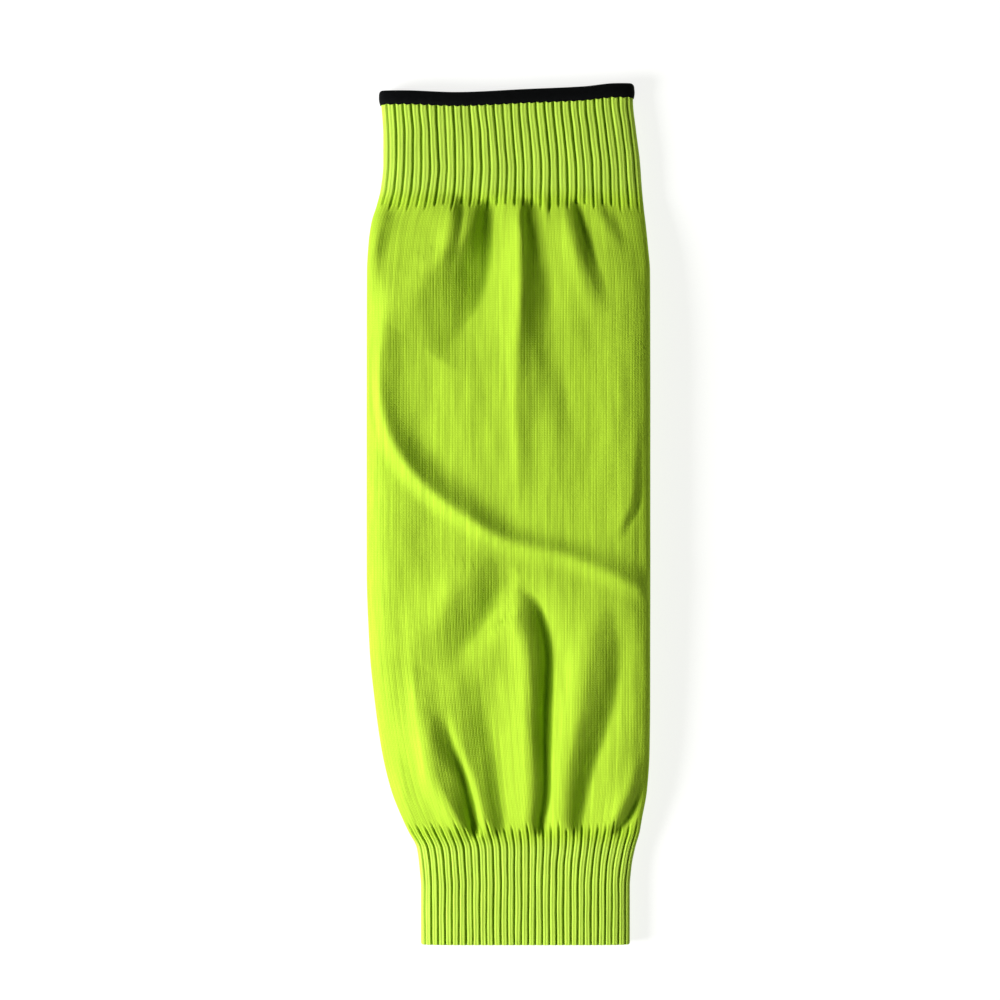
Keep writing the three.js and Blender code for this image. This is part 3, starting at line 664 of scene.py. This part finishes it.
class SleeveSizes(PropertyGroup):
    """The sizes that a user may change."""

    rib_count: IntProperty(
        name="Ribs", description="Ribs round a cuff", default=64, min=24, max=120
    )
    rib_depth: FloatProperty(
        name="Rib depth", description="From a rib's crest to its valley", default=1.15 * MM,
        min=0.2 * MM, max=3 * MM, precision=5, unit="LENGTH",
    )
    wale_depth: FloatProperty(
        name="Wale depth", description="Relief of the plain knit's columns", default=0.1 * MM,
        min=0, max=MM, precision=5, unit="LENGTH",
    )
    wall: FloatProperty(
        name="Wall", description="Thickness of the knit", default=1.5 * MM, min=0.5 * MM,
        max=4 * MM, precision=5, unit="LENGTH",
    )
    fold_depth: FloatProperty(
        name="Fold depth", description="Climb of the deepest fold", default=11.5 * MM, min=0,
        max=14 * MM, precision=5, unit="LENGTH",
    )
    course_height: FloatProperty(
        name="Course height", description="Height of one row of stitches", default=1.25 * MM,
        min=0.4 * MM, max=4 * MM, precision=5, unit="LENGTH",
    )
    thread_pitch: IntProperty(
        name="Threads per rib", description="Turns of overlock thread beside each rib",
        default=4, min=1, max=8,
    )


class SleeveColours(PropertyGroup):
    """The colours that a user may change."""

    yarn: FloatVectorProperty(
        name="Yarn", description="Bright yellow-green yarn", subtype="COLOR",
        default=(0.425, 0.645, 0.038), min=0, max=1,
    )
    # Painted highlight: a paler colour of the yarn, laid over the cuffs from the body outwards
    crest: FloatVectorProperty(
        name="Yarn on the ribs", description="The same yarn, paler where it is drawn up tight",
        subtype="COLOR", default=(0.52, 0.755, 0.085), min=0, max=1,
    )
    # Painted shade: a darker colour of the yarn, laid into rib valleys, crease feet, the gaps
    # between stitches and the inside of the tube
    painted_shade_yarn: FloatVectorProperty(
        name="Yarn in the valleys", description="The same yarn where little light reaches",
        subtype="COLOR", default=(0.11, 0.23, 0.0), min=0, max=1,
    )
    binding: FloatVectorProperty(
        name="Binding", description="Near-black overlock yarn", subtype="COLOR",
        default=(0.0012, 0.0013, 0.0018), min=0, max=1,
    )
    floor: FloatVectorProperty(
        name="Floor", description="What the glowing pale floor reflects", subtype="COLOR",
        default=(0.25, 0.25, 0.25), min=0, max=1,
    )


class Nodes:
    """Adds and joins a material's nodes."""

    def __init__(self, name):
        self.material = bpy.data.materials.new(name)
        self.material.use_nodes = True
        self.tree = self.material.node_tree
        self.tree.nodes.clear()
        self.shader = self.add("ShaderNodeBsdfPrincipled")
        output = self.add("ShaderNodeOutputMaterial")
        self.tree.links.new(self.shader.outputs["BSDF"], output.inputs["Surface"])

    def add(self, kind, **settings):
        node = self.tree.nodes.new(kind)
        for key, value in settings.items():
            setattr(node, key, value)
        return node

    def put(self, socket, value):
        if isinstance(value, bpy.types.NodeSocket):
            self.tree.links.new(value, socket)
        else:
            socket.default_value = value

    def maths(self, operation, first, second=0.0, third=0.0):
        node = self.add("ShaderNodeMath", operation=operation)
        for socket, value in zip(node.inputs, (first, second, third)):
            self.put(socket, value)
        return node.outputs[0]

    def mix(self, share, first, second, blend="MIX"):
        node = self.add("ShaderNodeMix", data_type="RGBA", blend_type=blend)
        self.put(node.inputs[0], share)
        self.put(node.inputs[6], first)
        self.put(node.inputs[7], second)
        return node.outputs[2]

    def vector(self, x, y, z=0.0):
        node = self.add("ShaderNodeCombineXYZ")
        for socket, value in zip(node.inputs, (x, y, z)):
            self.put(socket, value)
        return node.outputs[0]

    def ramp(self, value, low, high, to_low=0.0, to_high=1.0):
        node = self.add("ShaderNodeMapRange", clamp=True)
        for socket, number in zip(node.inputs, (value, low, high, to_low, to_high)):
            self.put(socket, number)
        return node.outputs[0]

    def bump(self, height, distance, strength=1.0, normal=None):
        node = self.add("ShaderNodeBump")
        self.put(node.inputs["Height"], height)
        node.inputs["Distance"].default_value = distance
        node.inputs["Strength"].default_value = strength
        if normal is not None:
            self.put(node.inputs["Normal"], normal)
        return node.outputs["Normal"]

    def knit_map(self):
        """The places in wales and courses that the knit's own UV map gives."""
        parts = self.add("ShaderNodeSeparateXYZ")
        self.put(parts.inputs[0], self.add("ShaderNodeUVMap", uv_map="Knit").outputs[0])
        return parts.outputs[0], parts.outputs[1]

    def grain(self, u, v, u_rate, v_rate, detail=3.0):
        """Uneven values about 0.5, at so many spots for each wale and course."""
        node = self.add("ShaderNodeTexNoise", noise_dimensions="2D")
        place = self.vector(self.maths("MULTIPLY", u, u_rate), self.maths("MULTIPLY", v, v_rate))
        self.put(node.inputs["Vector"], place)
        node.inputs["Scale"].default_value = 1.0
        node.inputs["Detail"].default_value = detail
        return node.outputs[0]


def rgba(colour):
    return (*colour, 1.0)


# Between which values of a noise a tone runs from its darker to its lighter end
NOISE_SPAN = (0.3, 0.7)

# How many spots each wale and each course has, and in how much detail
STREAK_GRAIN = (0.9, 0.05)
FIBRE_GRAIN = (6.0, 2.2, 4.0)
THREAD_GRAIN = (14.0, 0.5, 4.0)
CLOUD_GRAIN = (0.35, 0.3)

# The tones of the yarn, as shares of its colour, darker and lighter
WALE_TONES = (0.92, 1.07)  # from wale to wale
STREAK_TONES = (0.9, 1.08)  # along a wale
SPOT_TONES = (0.9, 1.1)  # from tuft to tuft
GAP_SPAN = (0.0, 0.6)  # the heights of a stitch between which the painted shade in its gap fades
GAP_TONES = (0.62, 1.0)
VALLEY_SPAN = (0.35, 0.95)  # the shares of a valley's depth between which its painted shade deepens
VALLEY_TONES = (0.0, 0.85)
YARN_ROUGHNESS = (0.8, 0.95)
THREAD_ROUGHNESS = (0.65, 0.85)

# How a stitch's legs lean and how round they are
LEG_LEAN = -0.55
STRAND_POWER = 0.6
LEG_POWER = 0.5
STRAND_SHARE = 0.65


def stitch_height(nodes, u, v):
    """The height of plain knit stitches: each wale's two legs, slanted into a V."""
    within = nodes.maths("FRACT", u)
    from_middle = nodes.maths("ABSOLUTE", nodes.maths("MULTIPLY_ADD", within, 2.0, -1.0))
    to_edge = nodes.maths("SUBTRACT", 1.0, from_middle)
    leg = nodes.maths("MULTIPLY", nodes.maths("MULTIPLY", from_middle, to_edge), 4.0)
    slanted = nodes.maths("MULTIPLY_ADD", from_middle, LEG_LEAN, v)
    turn = nodes.maths("SINE", nodes.maths("MULTIPLY", slanted, math.pi))
    strand = nodes.maths("POWER", nodes.maths("ABSOLUTE", turn), STRAND_POWER)
    height = nodes.maths("MULTIPLY_ADD", strand, STRAND_SHARE, 1 - STRAND_SHARE)
    return nodes.maths("MULTIPLY", nodes.maths("POWER", leg, LEG_POWER), height)


def yarn_material(name, colours, relief):
    """Bright yarn knitted in stitches, mottled a little, with painted shade in its gaps, valleys
    and creases and inside the tube, and a painted highlight on the cuffs.
    """
    nodes = Nodes(name)
    u, v = nodes.knit_map()
    stitches = stitch_height(nodes, u, v)
    wale = nodes.add("ShaderNodeTexWhiteNoise", noise_dimensions="1D")
    nodes.put(wale.inputs["W"], nodes.maths("FLOOR", u))
    slow = nodes.grain(u, v, *STREAK_GRAIN)
    fibres = nodes.grain(u, v, *FIBRE_GRAIN)
    sunk = nodes.add("ShaderNodeAttribute", attribute_name="Sunk").outputs["Fac"]

    # Painted shade in the gaps between stitches
    gap_unshaded = nodes.ramp(stitches, *GAP_SPAN, *GAP_TONES)
    # The cuffs' painted highlight, a paler yarn colour
    drawn = nodes.add("ShaderNodeAttribute", attribute_name="Drawn").outputs["Fac"]
    bright = nodes.mix(drawn, rgba(colours.yarn), rgba(colours.crest))
    stitched = nodes.mix(gap_unshaded, rgba(colours.painted_shade_yarn), bright)
    # Painted shade in rib valleys, at crease feet and inside the tube
    deep = nodes.ramp(sunk, *VALLEY_SPAN, *VALLEY_TONES)
    valleys = nodes.mix(deep, stitched, rgba(colours.painted_shade_yarn))
    own = nodes.ramp(wale.outputs["Value"], 0, 1, *WALE_TONES)
    streak = nodes.ramp(slow, *NOISE_SPAN, *STREAK_TONES)
    spot = nodes.ramp(fibres, *NOISE_SPAN, *SPOT_TONES)
    tone = nodes.maths("MULTIPLY", nodes.maths("MULTIPLY", own, streak), spot)
    shaded = nodes.mix(1.0, valleys, nodes.vector(tone, tone, tone), blend="MULTIPLY")
    nodes.put(nodes.shader.inputs["Base Color"], shaded)
    rough = nodes.ramp(fibres, *NOISE_SPAN, *YARN_ROUGHNESS)
    nodes.put(nodes.shader.inputs["Roughness"], rough)
    nodes.shader.inputs["Specular IOR Level"].default_value = 0.08
    nodes.shader.inputs["Sheen Weight"].default_value = 0.04
    nodes.shader.inputs["Sheen Roughness"].default_value = 0.5
    nodes.shader.inputs["Sheen Tint"].default_value = (0.85, 1.0, 0.45, 1.0)
    fine = nodes.bump(fibres, 0.1 * MM, 0.5)
    nodes.put(nodes.shader.inputs["Normal"], nodes.bump(stitches, relief, 1.0, fine))
    return nodes.material


def binding_material(colours):
    """Dense near-black overlock yarn: fine threads across the edge, lighter at random in soft
    patches and with a painted sheen of lighter threads.
    """
    nodes = Nodes("overlock_yarn")
    u, v = nodes.knit_map()
    threads = nodes.grain(u, v, *THREAD_GRAIN)
    cloud = nodes.grain(u, v, *CLOUD_GRAIN)
    shine = nodes.ramp(threads, *NOISE_SPAN, 0.0, 0.7)
    share = nodes.maths("ADD", shine, nodes.ramp(cloud, 0.4, 0.7, 0.0, 0.4))
    # Painted sheen along the threads and a random lighter tone in soft patches both mix towards
    # this lighter colour
    sheen_and_tone = tuple(2.5 * part for part in colours.binding)
    tone = nodes.mix(share, rgba(colours.binding), rgba(sheen_and_tone))
    nodes.put(nodes.shader.inputs["Base Color"], tone)
    rough = nodes.ramp(threads, *NOISE_SPAN, *THREAD_ROUGHNESS)
    nodes.put(nodes.shader.inputs["Roughness"], rough)
    nodes.shader.inputs["Specular IOR Level"].default_value = 0.06
    nodes.put(nodes.shader.inputs["Normal"], nodes.bump(threads, 0.12 * MM, 0.7))
    return nodes.material


def floor_material(colours):
    """A pale table that glows a little, so that shadows on it stay light."""
    nodes = Nodes("pale_floor")
    grain = nodes.add("ShaderNodeTexNoise")
    place = nodes.add("ShaderNodeTexCoord")
    nodes.put(grain.inputs["Vector"], place.outputs["Object"])
    grain.inputs["Scale"].default_value = 40.0
    darker = tuple(0.99 * part for part in colours.floor)
    tone = nodes.mix(grain.outputs[0], rgba(colours.floor), rgba(darker))
    nodes.put(nodes.shader.inputs["Base Color"], tone)
    nodes.shader.inputs["Roughness"].default_value = 0.85
    nodes.shader.inputs["Emission Color"].default_value = (1, 1, 1, 1)
    nodes.shader.inputs["Emission Strength"].default_value = 0.85
    return nodes.material


class SLEEVE_OT_body(Operator):
    """Knit the plain tube, with its wales, gathers and folds"""

    bl_idname = "sleeve.body"
    bl_label = "Sleeve body"

    def execute(self, context):
        knit = Knit(context.scene.sleeve_sizes)
        ys = stretch(BODY_TOP, BODY_FOOT, BODY_ROWS, True, True)
        piece = knitted_tube("body_knit", knit, ys, BODY_LINING_ROWS, WALES_PER_RIB)
        yarn = yarn_material("body_yarn", context.scene.sleeve_colours, STITCH_RELIEF)
        piece.data.materials.append(yarn)
        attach(piece, "root")
        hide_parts("sleeve_body")
        middle = (BODY_TOP + BODY_FOOT) / 2
        girth(middle)
        return {"FINISHED"}


class SLEEVE_OT_cuffs(Operator):
    """Knit the two ribbed cuffs"""

    bl_idname = "sleeve.cuffs"
    bl_label = "Ribbed cuffs"

    def execute(self, context):
        knit = Knit(context.scene.sleeve_sizes)
        material = yarn_material("rib_yarn", context.scene.sleeve_colours, STITCH_RELIEF)
        upper_ys = stretch(UPPER_RIB_END, BODY_TOP, CUFF_ROWS, False, True)
        lower_ys = stretch(BODY_FOOT, LOWER_RIB_END, CUFF_ROWS, True, False)
        lining = (CUFF_LINING_ROWS, CUFF_LINING_STEPS)
        upper = knitted_tube("upper_rib", knit, upper_ys, *lining)
        lower = knitted_tube("lower_rib", knit, lower_ys, *lining, rounded_end=True)
        for piece, node in ((upper, "upper_cuff"), (lower, "lower_cuff")):
            piece.data.materials.append(material)
            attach(piece, "root")
            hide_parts(node)
        upper_flat = (girth((UPPER_RIB_END + BODY_TOP) / 2), UPPER_RIB_END - BODY_TOP)
        lower_flat = (girth((BODY_FOOT + LOWER_END) / 2), BODY_FOOT - LOWER_END)
        return {"FINISHED"}


class SLEEVE_OT_binding(Operator):
    """Wrap the overlocked binding round the rim of the upper cuff"""

    bl_idname = "sleeve.binding"
    bl_label = "Edge binding"

    PROUD = 0.45 * MM  # how far it stands out of the cuff's surface
    INSIDE = 3.5 * MM  # how deep below that surface its inner face lies
    THICK = 0.9 * MM
    EDGE_ROUND = 3 * MM  # the height of its rounded rim
    BULGE = 0.25 * MM  # of its outer face
    FOOT_ROUND = 0.35 * MM
    THREAD_DEPTH = 0.11 * MM
    THREAD_SLANT = 2.5 * MM  # the height over which a thread moves on by its own width
    SCALLOP = 0.28 * MM  # how far each rib draws the binding's foot down and up
    SCALLOP_HEIGHT = 2 * MM

    def profile(self):
        """The binding's section, as (depth below the cuff's surface, y, thread relief)."""
        foot = UPPER_END - BINDING_HEIGHT
        straight = BINDING_HEIGHT - self.EDGE_ROUND
        points = []
        for t in np.linspace(0, 1, 6, endpoint=False):
            points.append((self.INSIDE, foot + t * straight, 0.3))
        for t in np.linspace(0, math.pi, 14):
            reach = (self.INSIDE + self.PROUD) / 2
            depth = (self.INSIDE - self.PROUD) / 2 + reach * math.cos(t)
            points.append((depth, foot + straight + self.EDGE_ROUND * math.sin(t), 0.8))
        for t in np.linspace(1, 0, 9, endpoint=False)[1:]:
            bulge = self.BULGE * math.sin(math.pi * t)
            points.append((-self.PROUD - bulge, foot + t * straight, 1.0))
        for t in np.linspace(0, math.pi, 5):
            depth = -self.PROUD + self.THICK / 2 * (1 - math.cos(t))
            points.append((depth, foot - self.FOOT_ROUND * math.sin(t), 1.0))
        points.append((self.THICK - self.PROUD, UPPER_END - 2 * self.THICK, 0.0))
        points.append((self.INSIDE - self.THICK, UPPER_END - 2 * self.THICK, 0.0))
        points.append((self.INSIDE - self.THICK, foot, 0.0))
        return points

    def execute(self, context):
        knit = Knit(context.scene.sleeve_sizes)
        shares = knit.shares
        foot = UPPER_END - BINDING_HEIGHT
        ribs = shares * knit.sizes.rib_count
        rings = []
        for depth, y, ridged in self.profile():
            grid, normal = laid_grid(np.array([y + 0.5 * MM, y, y - 0.5 * MM]), shares, 0.0)
            slant = (y - foot) / self.THREAD_SLANT
            thread = np.abs(np.sin(math.pi * (ribs * knit.sizes.thread_pitch + slant)))
            ridge = self.THREAD_DEPTH * ridged * thread
            ring = grid[1] - normal[1] * (depth - ridge)[:, None]
            low = smooth(1 - (y - foot) / self.SCALLOP_HEIGHT)
            ring[:, 1] -= self.SCALLOP * low * np.cos(2 * math.pi * ribs)
            ring[:, 2] = np.maximum(ring[:, 2], 0)
            rings.append(Ring(ring, shares, y / MM))
        piece = mesh_from_rings("edge_yarn", rings, knit.wales)
        piece.data.materials.append(binding_material(context.scene.sleeve_colours))
        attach(piece, "root")
        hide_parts("edge_binding")
        return {"FINISHED"}


class SLEEVE_OT_stage(Operator):
    """Set the pale floor, the soft lights and the camera"""

    bl_idname = "sleeve.stage"
    bl_label = "Stage"

    FLOOR_SIZE = 24
    KEY_PLACE = (-1.02, -0.27, 0.71)
    KEY_SIZE = 0.5
    KEY_POWER = 28.4
    HORIZON = (0.1, 0.2)  # between these rises of a ray, the white horizon fades out
    HORIZON_WHITE = (0.86, 0.86, 0.86, 1)
    SKY_TINT = (0.84, 1, 0.32)
    SKY_STRENGTH = 0.14

    def execute(self, context):
        bpy.ops.mesh.primitive_plane_add(size=self.FLOOR_SIZE, location=(0, 0, 0))
        floor = context.object
        floor.name = "floor"
        floor.data.materials.append(floor_material(context.scene.sleeve_colours))
        self.light("key", self.KEY_PLACE, self.KEY_SIZE, self.KEY_POWER)
        self.surroundings()
        distance = VIEW_SPAN * CAMERA_LENS / CAMERA_SENSOR
        camera_data = bpy.data.cameras.new("camera")
        camera_data.lens = CAMERA_LENS
        camera_data.sensor_width = CAMERA_SENSOR
        camera = bpy.data.objects.new("camera", camera_data)
        camera.location = (*VIEW_MIDDLE, VIEW_LEVEL + distance)
        context.scene.collection.objects.link(camera)
        context.scene.camera = camera
        context.scene.view_settings.view_transform = "Standard"
        return {"FINISHED"}

    def surroundings(self):
        """Dim light from above, tinted as the sleeve is, and a white horizon."""
        world = bpy.data.worlds.new("studio")
        bpy.context.scene.world = world
        world.use_nodes = True
        tree = world.node_tree
        direction = tree.nodes.new("ShaderNodeTexCoord")
        parts = tree.nodes.new("ShaderNodeSeparateXYZ")
        level = tree.nodes.new("ShaderNodeMapRange")
        blend = tree.nodes.new("ShaderNodeMix")
        blend.data_type = "RGBA"
        tree.links.new(direction.outputs["Generated"], parts.inputs[0])
        tree.links.new(parts.outputs["Z"], level.inputs["Value"])
        level.inputs["From Min"].default_value = self.HORIZON[0]
        level.inputs["From Max"].default_value = self.HORIZON[1]
        tree.links.new(level.outputs[0], blend.inputs[0])
        sky = tuple(part * self.SKY_STRENGTH for part in self.SKY_TINT)
        blend.inputs[6].default_value = self.HORIZON_WHITE
        blend.inputs[7].default_value = rgba(sky)
        tree.links.new(blend.outputs[2], tree.nodes["Background"].inputs["Color"])

    def light(self, name, place, size, power):
        data = bpy.data.lights.new(name, "AREA")
        data.size = size
        data.energy = power
        lamp = bpy.data.objects.new(name, data)
        lamp.location = place
        lamp.rotation_euler = (-Vector(place)).to_track_quat("-Z", "Y").to_euler()
        bpy.context.scene.collection.objects.link(lamp)


class SLEEVE_PT_panel(Panel):
    """Lists the sleeve's pieces, sizes and colours"""

    bl_label = "Arm sleeve"
    bl_idname = "SLEEVE_PT_panel"
    bl_space_type = "VIEW_3D"
    bl_region_type = "UI"
    bl_category = "Sleeve"

    def draw(self, context):
        layout = self.layout
        for group in (context.scene.sleeve_sizes, context.scene.sleeve_colours):
            box = layout.box()
            for name in group.__annotations__:
                box.prop(group, name)
        for operator in OPERATORS:
            layout.operator(operator.bl_idname)


OPERATORS = (SLEEVE_OT_body, SLEEVE_OT_binding, SLEEVE_OT_cuffs, SLEEVE_OT_stage)
CLASSES = (SleeveSizes, SleeveColours, *OPERATORS, SLEEVE_PT_panel)


def register():
    for cls in CLASSES:
        bpy.utils.register_class(cls)
    bpy.types.Scene.sleeve_sizes = PointerProperty(type=SleeveSizes)
    bpy.types.Scene.sleeve_colours = PointerProperty(type=SleeveColours)


def unregister():
    del bpy.types.Scene.sleeve_colours
    del bpy.types.Scene.sleeve_sizes
    for cls in reversed(CLASSES):
        bpy.utils.unregister_class(cls)


def main():
    register()
    bpy.ops.sleeve.body()
    bpy.ops.sleeve.binding()
    bpy.ops.sleeve.cuffs()
    bpy.ops.sleeve.stage()


if __name__ == "__main__":
    main()
